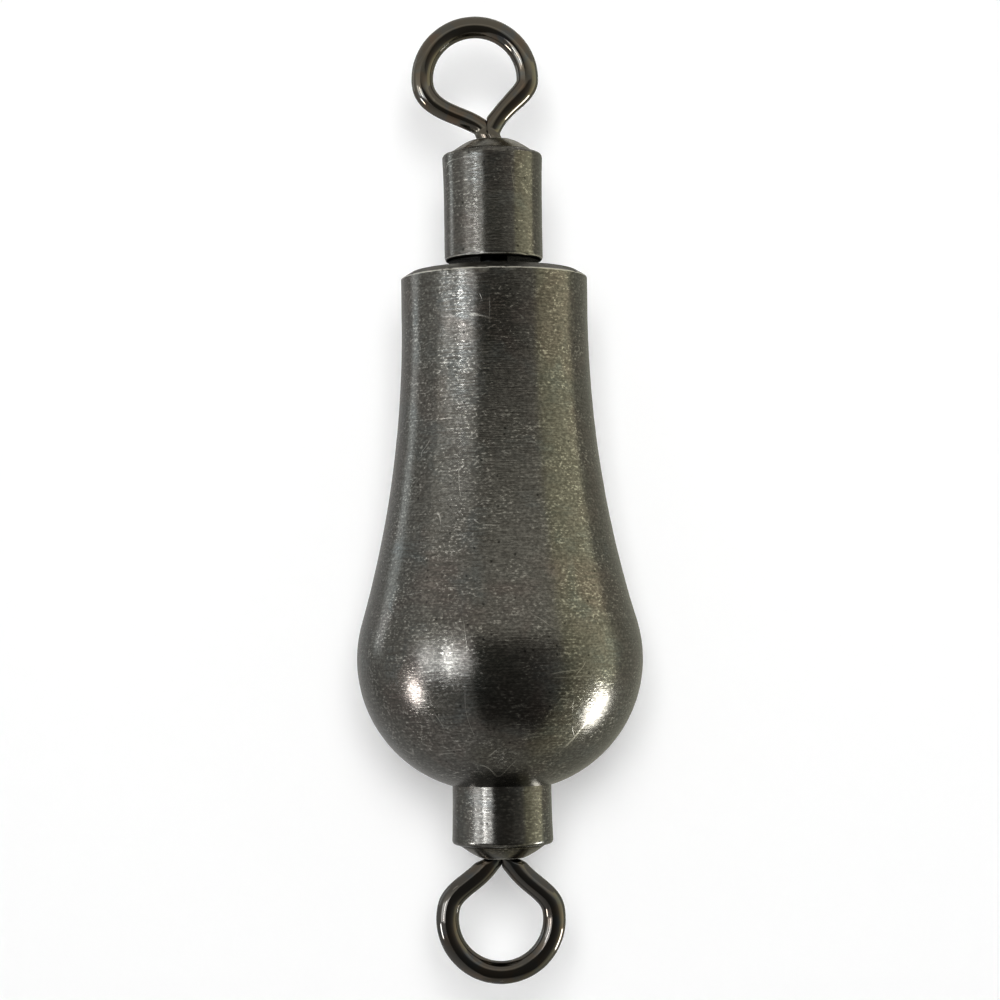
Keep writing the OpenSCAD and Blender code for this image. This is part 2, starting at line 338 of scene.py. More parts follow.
def paperMaterial(name, s, glowLevel, seeThroughBack):
    # Lit paper that keeps the object's shadow, lifted to white where camera, metal or glass sees it
    material, tree, surface = newMaterial(name)
    glow = {"Strength": times(tree, seenByEye(tree), glowLevel)}
    both = addNode(tree, "ShaderNodeAddShader")
    feed(tree, both.inputs[0], firstOutput(tree, "ShaderNodeBsdfDiffuse", {"Color": s["paper"]}))
    feed(tree, both.inputs[1], firstOutput(tree, "ShaderNodeEmission", glow))
    if not seeThroughBack:
        feed(tree, surface, both.outputs[0])
        return material
    pick = addNode(tree, "ShaderNodeMixShader")
    feed(tree, pick.inputs[0], addNode(tree, "ShaderNodeNewGeometry").outputs["Backfacing"])
    feed(tree, pick.inputs[1], both.outputs[0])
    feed(tree, pick.inputs[2], addNode(tree, "ShaderNodeBsdfTransparent").outputs[0])
    feed(tree, surface, pick.outputs[0])
    return material


def makeStage(s):
    half = s["sheetHalf"] * mm
    backY = cadHigh.y + s["sheetGap"] * mm
    midZ = (cadLow.z + cadHigh.z) / 2
    corners = [(-half, backY, midZ - half), (half, backY, midZ - half),
               (half, backY, midZ + half), (-half, backY, midZ + half)]
    paper = paperMaterial("sheetPaper", s, s["sheetGlow"], True)
    sheet = makePanel("sheet", corners, [(0, 1, 2, 3)], paper)
    sheet.visible_glossy = False  # metal sees the cards behind it
    sheet.visible_diffuse = False
    sheet.visible_shadow = False
    wide = s["floorHalf"] * mm
    low = cadLow.z - s["floorDrop"] * mm
    corners = [(-wide, -wide, low), (wide, -wide, low), (wide, wide, low), (-wide, wide, low)]
    makePanel("floor", corners, [(0, 1, 2, 3)], paperMaterial("floorPaper", s, s["floorGlow"], False))


def between(low, high, t):
    return low + (high - low) * t


def makeCard(name, s, columns=16, rows=12):
    points, shades, faces = [], [], []
    lowLeft, lowRight, highLeft, highRight = s["shades"]
    for j in range(rows + 1):
        for i in range(columns + 1):
            across, up = i / columns, j / rows
            turn, rise = between(*s["turns"], across), between(*s["rises"], up)
            points.append(spot(turn, rise, s["distance"])[0])
            across = across ** s.get("bend", 1)
            low, high = between(lowLeft, lowRight, across), between(highLeft, highRight, across)
            shades.append(between(low, high, up))
    for j in range(rows):
        for i in range(columns):
            a = j * (columns + 1) + i
            faces.append((a, a + 1, a + columns + 2, a + columns + 1))
    card = makePanel(name, points, faces, cardMaterial(name + "Felt", s["tint"]))
    card.data.attributes.new("shade", "FLOAT", "POINT").data.foreach_set("value", shades)
    card.visible_camera = False
    card.visible_shadow = False
    card.visible_diffuse = False


def makeWorld(s):
    world = bpy.data.worlds.new("studio")
    bpy.context.scene.world = world
    world.use_nodes = True
    tree = world.node_tree
    tree.nodes.clear()
    strength = blendValue(tree, seenByEye(tree), s["fillLevel"], 1.0)
    glow = firstOutput(tree, "ShaderNodeBackground", {"Color": (1, 1, 1, 1), "Strength": strength})
    feed(tree, addNode(tree, "ShaderNodeOutputWorld").inputs["Surface"], glow)


makeStage(stageSet)
for cardName, cardValues in cardSet.items():
    makeCard(cardName, cardValues)
makeWorld(stageSet)
print("stage and lamps placed")


# Shader groups that several finishes share. A noise is given as scale, detail, roughness and
# distortion; a pair is where a mask starts and where it is full, or else start and softness say it.

lineSet = {"leastAway": 0.01, "noise": (1.0, 3.0, 0.62), "hairStretch": (0.16, 0.16, 1.4),
           "hairNoise": (1.0, 1.0)}


def latheLinesGroup(s):
    # Fine lines that run round a turned piece, from the way round and the length along the profile
    tree, given, result = newGroup(
        "latheLines",
        [("Position", "Vector"), ("Along", "Float"), ("Spacing", "Float", 0.0003),
         ("Run", "Float", 3.0)],
        [("Height", "Float"), ("Hairlines", "Float")])
    x, y, z = splitVector(tree, given["Position"])
    away = most(tree, distanceFromAxis(tree, x, y), s["leastAway"] * mm)
    roundX = times(tree, calc(tree, "DIVIDE", x, away), given["Run"])
    roundY = times(tree, calc(tree, "DIVIDE", y, away), given["Run"])
    rows = calc(tree, "DIVIDE", given["Along"], given["Spacing"])
    place = joinVector(tree, roundX, roundY, rows)
    feed(tree, result["Height"], noise(tree, place, *s["noise"]))
    place = vectorCalc(tree, "MULTIPLY", place, s["hairStretch"])
    feed(tree, result["Hairlines"], noise(tree, place, *s["hairNoise"]))
    return tree


speckleSet = {"stretch": (0.8, 0.8, 1.4), "noise": (1.0, 2.0, 0.6), "patchScale": 0.09,
              "patchNoise": (1.0, 3.0, 0.6), "patchShare": 0.45, "start": 0.72, "reach": 0.3,
              "softness": 0.06}


def speckleGroup(s):
    # Small rubbed spots in drifting patches
    tree, given, result = newGroup(
        "rubbedSpeckle",
        [("Position", "Vector"), ("Grain", "Float", 0.0004), ("Amount", "Float", 0.5)],
        [("Mask", "Float"), ("Patch", "Float"), ("Grain", "Float")])
    fine = inUnits(tree, given["Position"], given["Grain"])
    grain = noise(tree, vectorCalc(tree, "MULTIPLY", fine, s["stretch"]), *s["noise"])
    patch = noise(tree, scaleVector(tree, fine, s["patchScale"]), *s["patchNoise"])
    level = plus(tree, times(tree, patch, s["patchShare"]), times(tree, grain, 1 - s["patchShare"]))
    start = minus(tree, s["start"], times(tree, given["Amount"], s["reach"]))
    feed(tree, result["Mask"], ramp(tree, level, start, plus(tree, start, s["softness"])))
    feed(tree, result["Patch"], patch)
    feed(tree, result["Grain"], grain)
    return tree


scratchSet = {
    "sets": ((0.0, (1.0, 1.0, 0.35)), (7.3, (0.5, 0.5, 1.6)), (15.1, (1.4, 1.0, 1.0))),
    "noise": (1.0, 1.0, 0.4, 0.6), "breakShift": (3.7, 1.9, 5.3), "breakScale": 2.3, "start": 0.75,
    "reach": 0.25, "softness": 0.05,
}


def scratchGroup(s):
    # Hair scratches: thin level lines of a drifting noise, broken into short lengths
    tree, given, result = newGroup(
        "hairScratches",
        [("Position", "Vector"), ("Size", "Float", 0.008), ("Width", "Float", 0.01),
         ("Amount", "Float", 0.5)],
        [("Mask", "Float")])
    place = inUnits(tree, given["Position"], given["Size"])
    start = minus(tree, s["start"], times(tree, given["Amount"], s["reach"]))
    total = 0.0
    for shift, stretch in s["sets"]:
        moved = vectorCalc(tree, "ADD", place, (shift, shift, shift))
        moved = vectorCalc(tree, "MULTIPLY", moved, stretch)
        level = calc(tree, "ABSOLUTE", minus(tree, noise(tree, moved, *s["noise"]), 0.5))
        line = ramp(tree, level, 0.0, given["Width"], 1.0, 0.0)
        breaks = noise(tree, vectorCalc(tree, "ADD", moved, s["breakShift"]), s["breakScale"])
        kept = ramp(tree, breaks, start, plus(tree, start, s["softness"]))
        total = most(tree, times(tree, line, kept), total)
    feed(tree, result["Mask"], total)
    return tree


wearSet = {"noise": (1.0, 3.0, 0.65), "slowScale": 0.15, "slowNoise": (1.0, 1.0), "slowShare": 0.5,
           "start": 0.65, "reach": 0.3, "softness": 0.12}


def edgeWearGroup(s):
    # Bright metal where the finish has rubbed off an edge, broken up along it
    tree, given, result = newGroup(
        "edgeWear",
        [("Position", "Vector"), ("Edge", "Float"), ("Grain", "Float", 0.0006),
         ("Amount", "Float", 0.5)],
        [("Mask", "Float")])
    place = inUnits(tree, given["Position"], given["Grain"])
    broken = noise(tree, place, *s["noise"])
    slow = noise(tree, scaleVector(tree, place, s["slowScale"]), *s["slowNoise"])
    level = plus(tree, times(tree, broken, 1 - s["slowShare"]), times(tree, slow, s["slowShare"]))
    level = plus(tree, level, minus(tree, given["Edge"], 1.0))
    start = minus(tree, s["start"], times(tree, given["Amount"], s["reach"]))
    feed(tree, result["Mask"], ramp(tree, level, start, plus(tree, start, s["softness"])))
    return tree


tintSet = {"warmNoise": (1.0, 3.0, 0.55, 0.5), "warm": (0.45, 0.68), "coolShift": (9.0, 4.0, 2.0),
           "coolNoise": (1.3, 3.0, 0.55, 0.5), "cool": (0.5, 0.7)}


def tintGroup(s):
    # Drifting stains in three tones
    tree, given, result = newGroup(
        "stainTints",
        [("Position", "Vector"), ("Size", "Float", 0.006), ("Base", "Color"), ("Warm", "Color"),
         ("Cool", "Color")],
        [("Color", "Color")])
    place = inUnits(tree, given["Position"], given["Size"])
    warm = ramp(tree, noise(tree, place, *s["warmNoise"]), *s["warm"])
    place = vectorCalc(tree, "ADD", place, s["coolShift"])
    cool = ramp(tree, noise(tree, place, *s["coolNoise"]), *s["cool"])
    mixed = blendColor(tree, warm, given["Base"], given["Warm"])
    feed(tree, result["Color"], blendColor(tree, cool, mixed, given["Cool"]))
    return tree


def pitGroup(bowl=(0.05, 0.26)):
    # Scattered small pits; 1 is open surface and 0 a pit's bottom
    tree, given, result = newGroup(
        "smallPits",
        [("Position", "Vector"), ("Size", "Float", 0.0012), ("Share", "Float", 0.2)],
        [("Height", "Float")])
    values = {"Vector": inUnits(tree, given["Position"], given["Size"]), "Scale": 1.0}
    cells = fedNode(tree, "ShaderNodeTexVoronoi", values, feature="F1").outputs
    picked = calc(tree, "LESS_THAN", splitVector(tree, cells["Color"])[0], given["Share"])
    depth = minus(tree, 1.0, ramp(tree, cells["Distance"], *bowl))
    feed(tree, result["Height"], minus(tree, 1.0, times(tree, picked, depth)))
    return tree


latheLines = latheLinesGroup(lineSet)
speckle = speckleGroup(speckleSet)
scratches = scratchGroup(scratchSet)
edgeWear = edgeWearGroup(wearSet)
stains = tintGroup(tintSet)
pits = pitGroup()


# Finishes

def readPosition(tree):
    return addNode(tree, "ShaderNodeTexCoord").outputs["Object"]


def placeStains(tree, position, s):
    return placeGroup(tree, stains, Position=position, Size=s["stainSize"] * mm, Base=s["base"],
                      Warm=s["warm"], Cool=s["cool"])["Color"]


def placeSpeckle(tree, position, s):
    return placeGroup(tree, speckle, Position=position, Grain=s["spotGrain"] * mm,
                      Amount=s["spotAmount"])


def placeScratches(tree, position, s):
    return placeGroup(tree, scratches, Position=position, Size=s["scratchSize"] * mm,
                      Width=s["scratchWidth"], Amount=s["scratchAmount"])["Mask"]


def roundTangent(tree, position):
    x, y, z = splitVector(tree, position)
    across = vectorCalc(tree, "NORMALIZE", joinVector(tree, times(tree, y, -1.0), x, 0.0))
    return firstOutput(tree, "ShaderNodeVectorTransform", {"Vector": across}, vector_type="VECTOR",
                       convert_from="OBJECT", convert_to="WORLD")


def metalShader(tree, surface, height, values):
    # Metal with a bump, whose height is in millimetres
    bump = {"Strength": 1.0, "Distance": mm, "Height": height}
    values = {"Metallic": 1.0, "Normal": firstOutput(tree, "ShaderNodeBump", bump), **values}
    feed(tree, surface, firstOutput(tree, "ShaderNodeBsdfPrincipled", values))


def turnedFinish(name, s):
    material, tree, surface = newMaterial(name)
    position = readPosition(tree)
    lines = placeGroup(tree, latheLines, Position=position, Along=readAttribute(tree, "along"),
                       Spacing=s["lineSpacing"] * mm, Run=s["lineRun"])
    spots = placeSpeckle(tree, position, s)
    hair = placeScratches(tree, position, s)
    worn = placeGroup(tree, edgeWear, Position=position, Edge=readAttribute(tree, "edge"),
                      Grain=s["edgeGrain"] * mm, Amount=s["edgeAmount"])["Mask"]
    holes = placeGroup(tree, pits, Position=position, Size=s["pitSize"] * mm,
                       Share=s["pitShare"])["Height"]

    # Bare metal shows in rubbed spots and streaks, specks, hairlines, scratches and worn edges
    ridge = ramp(tree, lines["Height"], *s["ridge"])
    salt = ramp(tree, spots["Grain"], *s["salt"])
    rubbed = ramp(tree, ridge, 0.0, 1.0, s["rubbedLow"], 1.0, smooth=False)
    rubbed = times(tree, times(tree, spots["Mask"], rubbed), s["spotStrength"])
    streak = times(tree, ridge, ramp(tree, spots["Patch"], *s["patch"], s["streakLow"]))
    streak = times(tree, times(tree, streak, salt), s["lineBright"])
    specks = times(tree, ramp(tree, spots["Grain"], *s["specks"]),
                   ramp(tree, spots["Patch"], *s["patch"], s["speckLow"]))
    hairlines = ramp(tree, lines["Hairlines"], *s["hairlines"], 0.0, s["hairlineStrength"])
    bare = most(tree, rubbed, streak, times(tree, specks, s["speckStrength"]),
                times(tree, hairlines, salt), times(tree, hair, s["scratchStrength"]), worn)
    bare = calc(tree, "MULTIPLY", bare, holes, clamp=True)

    outOfGroove = ramp(tree, lines["Height"], *s["grooveReach"])
    dark = blendColor(tree, outOfGroove, s["groove"], placeStains(tree, position, s))
    mottle = ramp(tree, spots["Grain"], *s["drift"], 1 - s["mottle"], 1 + s["mottle"])
    pitted = ramp(tree, holes, 0.0, 1.0, s["pitShade"], 1.0, smooth=False)
    clean = blendColor(tree, bare, scaleVector(tree, dark, times(tree, mottle, pitted)), s["bright"])
    # grime is 1 in gaps between parts, under the barrels' floors and on the weight's top bevel. There
    # the colour and the edge tint go near black as painted shade.
    grime = readAttribute(tree, "grime")
    cloud = ramp(tree, spots["Patch"], *s["drift"], s["roughHigh"], s["roughLow"])
    rough = blendValue(tree, bare, cloud, s["roughBare"])

    height = times(tree, lines["Height"], s["lineDepth"])
    height = plus(tree, height, times(tree, spots["Grain"], s["grainDepth"]))
    height = plus(tree, height, times(tree, holes, s["pitDepth"]))
    height = minus(tree, height, times(tree, hair, s["scratchDepth"]))
    height = plus(tree, height, times(tree, spots["Mask"], s["spotDepth"]))
    metalShader(tree, surface, height, {
        "Base Color": blendColor(tree, grime, clean, s["grime"]),
        "Roughness": blendValue(tree, worn, rough, s["roughWorn"]),
        "Specular Tint": blendColor(tree, grime, s["edgeTint"], s["grime"]),
        "Anisotropic": s["anisotropic"],
        "Anisotropic Rotation": s["anisotropicTurn"],
        "Tangent": roundTangent(tree, position),
    })
    return material


steelSet = {
    "lineSpacing": 0.15, "lineRun": 5.0, "lineDepth": 0.013, "lineBright": 0.35, "ridge": (0.5, 0.6),
    "hairlines": (0.68, 0.73), "hairlineStrength": 0.5, "spotGrain": 0.26, "spotAmount": 0.3,
    "spotStrength": 0.5, "spotDepth": 0.001, "rubbedLow": 0.3, "salt": (0.48, 0.64),
    "patch": (0.42, 0.62), "streakLow": 0.15, "specks": (0.6, 0.69), "speckLow": 0.1,
    "speckStrength": 0.6, "grainDepth": 0.007, "mottle": 0.32, "drift": (0.3, 0.7),
    "scratchSize": 9.0, "scratchWidth": 0.004, "scratchAmount": 0.6, "scratchStrength": 0.5,
    "scratchDepth": 0.004, "edgeGrain": 0.35, "edgeAmount": 0.95, "edgeTint": (1, 1, 1, 1),
    "pitSize": 0.7, "pitShare": 0.16, "pitDepth": 0.005, "pitShade": 0.3, "stainSize": 6.0,
    "base": (0.116, 0.114, 0.106, 1), "warm": (0.122, 0.108, 0.1, 1),
    "cool": (0.112, 0.118, 0.116, 1), "groove": (0.085, 0.081, 0.074, 1),
    "grooveReach": (0.3, 0.6), "bright": (0.5, 0.49, 0.46, 1), "grime": (0.01, 0.009, 0.008, 1),
    "roughLow": 0.17, "roughHigh": 0.23, "roughBare": 0.28, "roughWorn": 0.45,
    "anisotropic": 0.25, "anisotropicTurn": 0.25,
}
barrelSet = {**steelSet, "spotAmount": 0.38, "spotStrength": 0.4, "speckStrength": 0.4,
             "mottle": 0.22}
lowerBarrelSet = {**barrelSet, "spotAmount": 0.3, "spotStrength": 0.3, "speckStrength": 0.3,
                  "grainDepth": 0.005, "hairlineStrength": 0.3}
bushSet = {**steelSet, "warm": (0.15, 0.13, 0.08, 1), "base": (0.13, 0.118, 0.09, 1)}

steelFinish = turnedFinish("turnedSteel", steelSet)
barrelFinish = turnedFinish("barrelSteel", barrelSet)
lowerBarrelFinish = turnedFinish("lowerBarrelSteel", lowerBarrelSet)
bushFinish = turnedFinish("bushSteel", bushSet)

wireSet = {
    "base": (0.112, 0.102, 0.086, 1), "warm": (0.13, 0.1, 0.075, 1), "cool": (0.095, 0.1, 0.1, 1),
    "bright": (0.35, 0.33, 0.3, 1), "stainSize": 2.2, "spotGrain": 0.35, "spotAmount": 0.15,
    "spotStrength": 0.6, "scratchSize": 5.0, "scratchWidth": 0.01, "scratchAmount": 0.3,
    "scratchStrength": 0.5, "drift": (0.3, 0.7), "roughLow": 0.05, "roughHigh": 0.1,
    "rippleDepth": 0.006, "rippleSize": 0.8,
}
lowerWireSet = {**wireSet, "base": (0.09, 0.086, 0.08, 1), "warm": (0.108, 0.09, 0.074, 1),
                "cool": (0.078, 0.084, 0.09, 1)}


def wireFinish(name, s):
    material, tree, surface = newMaterial(name)
    position = readPosition(tree)
    spots = placeSpeckle(tree, position, s)
    hair = placeScratches(tree, position, s)
    bare = most(tree, times(tree, spots["Mask"], s["spotStrength"]),
                times(tree, hair, s["scratchStrength"]))
    ripple = noise(tree, scaleVector(tree, position, 1 / (s["rippleSize"] * mm)))
    height = minus(tree, times(tree, ripple, s["rippleDepth"]), times(tree, hair, s["rippleDepth"]))
    metalShader(tree, surface, height, {
        "Base Color": blendColor(tree, bare, placeStains(tree, position, s), s["bright"]),
        "Roughness": ramp(tree, spots["Patch"], *s["drift"], s["roughLow"], s["roughHigh"]),
    })
    return material


upperWire = wireFinish("upperWire", wireSet)
lowerWire = wireFinish("lowerWire", lowerWireSet)

hiddenSet = {"lineSpacing": 0.12, "lineRun": 4.0, "lineDepth": 0.003, "stainSize": 2.0,
             "drift": (0.3, 0.7), "roughMore": 0.12}
innerSet = {**hiddenSet, "base": (0.45, 0.45, 0.46, 1), "warm": (0.42, 0.4, 0.37, 1),
            "cool": (0.4, 0.42, 0.45, 1), "rough": 0.3}
# The pin is coloured near black: painted shade in the gap under the upper barrel
pinShadeSet = {**hiddenSet, "base": (0.02, 0.019, 0.017, 1), "warm": (0.03, 0.024, 0.018, 1),
          "cool": (0.02, 0.022, 0.024, 1), "rough": 0.4}
brassSet = {**hiddenSet, "base": (0.66, 0.5, 0.24, 1), "warm": (0.55, 0.38, 0.17, 1),
            "cool": (0.6, 0.5, 0.3, 1), "rough": 0.32}


def hiddenFinish(name, s):
    material, tree, surface = newMaterial(name)
    position = readPosition(tree)
    x, y, z = splitVector(tree, position)
    along = plus(tree, distanceFromAxis(tree, x, y), z)
    lines = placeGroup(tree, latheLines, Position=position, Along=along,
                       Spacing=s["lineSpacing"] * mm, Run=s["lineRun"])["Height"]
    metalShader(tree, surface, times(tree, lines, s["lineDepth"]), {
        "Base Color": placeStains(tree, position, s),
        "Roughness": ramp(tree, lines, *s["drift"], s["rough"], s["rough"] + s["roughMore"]),
    })
    return material


innerSteel = hiddenFinish("innerSteel", innerSet)
pinShadeSteel = hiddenFinish("pinShadeSteel", pinShadeSet)
washerBrass = hiddenFinish("washerBrass", brassSet)
print("finishes made")


# Profiles of the turned pieces: points (radius, height, mark) in millimetres, where the mark is 1 on a
# worn corner and -1 where shade is painted into the colour, in gaps between parts and under things

def arcPoints(x, z, radius, fromDeg, toDeg, steps):
    points = []
    for i in range(steps + 1):
        a = math.radians(fromDeg + (toDeg - fromDeg) * i / steps)
        points.append((x + radius * math.cos(a), z + radius * math.sin(a), 0.0))
    return points


def roundedCorner(before, corner, after, radius, mark=1.0, steps=5):
    # An arc that touches both sides of a corner
    mid = Vector(corner)
    first = (Vector(before) - mid).normalized()
    second = (Vector(after) - mid).normalized()
    halfAngle = first.angle(second) / 2
    centre = mid + (first + second).normalized() * radius / math.sin(halfAngle)
    start = mid + first * radius / math.tan(halfAngle) - centre
    end = mid + second * radius / math.tan(halfAngle) - centre
    points = []
    for i in range(steps + 1):
        p = centre + start.lerp(end, i / steps).normalized() * radius
        points.append((p.x, p.y, mark))
    return points


def spread(points, step, leastGap=0.0001):
    # Adds points on long straight stretches, so that a dent has somewhere to go
    filled = [points[0]]
    for a, b in zip(points, points[1:]):
        length = math.dist(a[:2], b[:2])
        if length < leastGap:
            continue
        pieces = max(1, math.ceil(length / step))
        for i in range(1, pieces + 1):
            t = i / pieces
            mark = b[2] if i == pieces else min(a[2], b[2], 0)
            filled.append((between(a[0], b[0], t), between(a[1], b[1], t), mark))
    return filled


weightShape = {
    "bulb": 26.0, "neck": 17.05, "neckStraight": 4.4, "bulbFromTop": 35.3, "bulbRound": 12.0,
    "footLand": 0.25, "pinHole": 1.255, "pinDepth": 8.0, "tipDepth": 0.75, "cornerRound": 0.1,
    "grimeIn": 1.4, "grimeFade": 1.2, "bevelIn": 1.0, "bevelDrop": 0.6, "bevelRound": 0.5,
    "bevelShade": 0.3, "wornRound": 0.15, "wornIn": 0.2, "wornDrop": 0.16, "socketGap": 0.005,
    "arcSteps": 90, "step": 0.4,
}
barrelShape = {
    "diameter": 9.0, "length": 9.95, "wall": 1.0, "rimWall": 0.5, "floor": 1.6, "floorEdge": 0.4,
    "floorSteps": 18, "rimEdge": 0.42, "rimSteps": 10, "rimSwell": 0.09, "rimLift": 0.12,
    "rimWear": 0.88, "rimWearDrop": 0.25, "swellLength": 4.8, "swellSteps": 8, "pinHole": 1.3,
    "cornerRound": 0.08, "grimeFade": 0.25, "seatDepth": 1.2, "bevelHeight": 0.3,
    "bevelWidth": 0.2, "seamShade": 0.5, "lowerShow": 5.38, "step": 0.35,
}
floorWear = {"grimeTo": -40, "grimeRun": 10, "wornAt": -22, "wornRun": 9, "wornLevel": 1.8}
bushShape = {"noseHeight": 1.245, "land": 0.2, "bulge": 0.07, "mouthDepth": 0.55, "mouthWear": 0.5,
             "bore": 1.2, "cornerRound": 0.06, "noseRound": 0.4, "noseSteps": 16, "step": 0.3}


def weightProfile(s, b):
    # From the pin's hole over the top, down the neck, flare and bulb, and into the lower barrel's socket
    neckR = s["neck"] / 2
    bulbR = s["bulbRound"]
    bulbMid = s["bulb"] / 2 - bulbR
    drop = s["bulbFromTop"] - s["neckStraight"]
    offset = neckR - bulbMid
    flareR = (drop ** 2 + offset ** 2 - bulbR ** 2) / (2 * (bulbR - offset))
    flareDeg = math.degrees(math.atan2(drop, offset + flareR))
    barrelR = b["diameter"] / 2
    footR = barrelR + s["footLand"]
    footDrop = math.sqrt(bulbR ** 2 - (footR - bulbMid) ** 2)
    footDeg = -math.degrees(math.atan2(footDrop, footR - bulbMid))
    length = s["bulbFromTop"] + footDrop
    holeR = s["pinHole"]
    points = [(0, -s["pinDepth"] - s["tipDepth"], -1), (holeR, -s["pinDepth"], -1)]
    points += roundedCorner((holeR, -1), (holeR, 0), (holeR + 1, 0), s["cornerRound"], -1)
    # Painted shade on the top face where the upper barrel stands over it, and partly on the top bevel
    grimeR = barrelR - s["grimeIn"]
    points += [(grimeR, 0, -1), (grimeR + s["grimeFade"], 0, 0)]
    bevelTop, bevelFoot = (neckR - s["bevelIn"], 0), (neckR, -s["bevelDrop"])
    points += roundedCorner((0, 0), bevelTop, bevelFoot, s["bevelRound"], -s["bevelShade"])
    wornRise = s["wornIn"] * s["bevelDrop"] / s["bevelIn"]
    points.append((neckR - s["wornIn"], wornRise - s["bevelDrop"], -s["bevelShade"]))
    points += roundedCorner(bevelTop, bevelFoot, (neckR, -s["neckStraight"]), s["wornRound"])
    points.append((neckR, -s["bevelDrop"] - s["wornDrop"], 0))
    flareEnd = 180 + flareDeg
    points += arcPoints(neckR + flareR, -s["neckStraight"], flareR, 180, flareEnd, s["arcSteps"])
    points += arcPoints(bulbMid, -s["bulbFromTop"], bulbR, flareDeg, footDeg, s["arcSteps"])
    socketR, socketTop = barrelR + s["socketGap"], b["length"] - b["lowerShow"] - length
    points += [(socketR, -length, 0), (socketR, socketTop, 0), (0, socketTop, 0)]
    return spread(points, s["step"])


def floorMark(deg, s):
    # Painted shade under the floor, then a worn band round its lower edge
    if deg < s["grimeTo"]:
        return max(-1, (deg - s["grimeTo"]) / s["grimeRun"])
    return min(1, max(0, s["wornLevel"] - abs(deg - s["wornAt"]) / s["wornRun"]))


def barrelProfile(s, holed):
    # Round the cup from the floor's middle or hole, up the outside, over the rim and down the inside
    r = s["diameter"] / 2
    seatR = r - s["rimWall"]
    boreR = r - s["wall"]
    holeR = s["pinHole"]
    low, floorTop = -s["length"], -s["length"] + s["floor"]
    points = [(0, low, -1)]
    if holed:
        points = [(holeR, floorTop, -1)]
        points += roundedCorner((holeR, low + 1), (holeR, low), (holeR + 1, low), s["cornerRound"], -1)
    points.append((r - s["floorEdge"] - s["grimeFade"], low, -1))
    edge = s["floorEdge"]
    floorArc = arcPoints(r - edge, low + edge, edge, -90, 0, s["floorSteps"])
    for i, (x, z, mark) in enumerate(floorArc):
        points.append((x, z, floorMark(90 * i / s["floorSteps"] - 90, floorWear)))
    for i in range(1, s["swellSteps"] + 1):
        t = i / s["swellSteps"]
        points.append((r + s["rimSwell"] * t * t, between(-s["swellLength"], -s["rimEdge"], t), 0))
    edge = s["rimEdge"]
    for x, z, mark in arcPoints(r + s["rimSwell"] - edge, -edge, edge, 0, 90, s["rimSteps"]):
        points.append((x, z, max(0, s["rimWear"] + z / s["rimWearDrop"])))
    points += [(seatR - s["bevelWidth"], s["rimLift"], -s["seamShade"]), (seatR, -s["bevelHeight"], 0),
               (seatR, -s["seatDepth"], 0), (boreR, -s["seatDepth"], 0), (boreR, floorTop, 0)]
    points.append(points[0] if holed else (0, floorTop, 0))
    return spread(points, s["step"])


def bushProfile(s, b):
    # Round the bush from its bore, under the rim, up the cone of its nose and into the mouth
    seatR = b["diameter"] / 2 - b["rimWall"]
    foot = Vector((seatR - b["bevelWidth"], b["rimLift"]))
    top, bore, seatZ = s["noseHeight"], s["bore"], -b["seatDepth"]
    mouth, mouthFoot = (bore + s["mouthDepth"], top), (bore, top - s["mouthDepth"])
    nose = Vector((mouth[0] + s["land"], top))
    outward = Vector((nose.y - foot.y, foot.x - nose.x)).normalized()
    points = [(bore, seatZ, 0), (seatR, seatZ, 0), (seatR, -b["bevelHeight"], 0)]
    for i in range(s["noseSteps"] - 1):
        t = i / s["noseSteps"]
        p = foot.lerp(nose, t) + outward * s["bulge"] * 4 * t * (1 - t)
        points.append((p.x, p.y, 0 if i else -b["seamShade"]))
    points += roundedCorner(foot, nose, mouth, s["noseRound"])
    points += roundedCorner(nose, mouth, mouthFoot, s["cornerRound"], s["mouthWear"])
    points += [(*mouthFoot, 0), (bore, seatZ, 0)]
    return spread(points, s["step"])


# Geometry Nodes

def namedAttribute(tree, name):
    kind = "GeometryNodeInputNamedAttribute"
    return fedNode(tree, kind, {"Name": name}, data_type="FLOAT").outputs["Attribute"]


def herePosition(tree):
    return addNode(tree, "GeometryNodeInputPosition").outputs[0]


def pushedIn(tree, geometry, depth):
    # The surface moved inwards along its own normals
    normal = addNode(tree, "GeometryNodeInputNormal").outputs[0]
    values = {"Geometry": geometry, "Offset": scaleVector(tree, normal, times(tree, depth, -1.0))}
    return firstOutput(tree, "GeometryNodeSetPosition", values)


def dressed(tree, geometry, finish):
    smooth = firstOutput(tree, "GeometryNodeSetShadeSmooth", {"Geometry": geometry})
    real = firstOutput(tree, "GeometryNodeRealizeInstances", {"Geometry": smooth})
    return firstOutput(tree, "GeometryNodeSetMaterial", {"Geometry": real, "Material": finish})


turnedTreeSet = {"mergeWithin": 0.001, "nickScale": 3.0, "nickReach": (0.5, 0.75)}


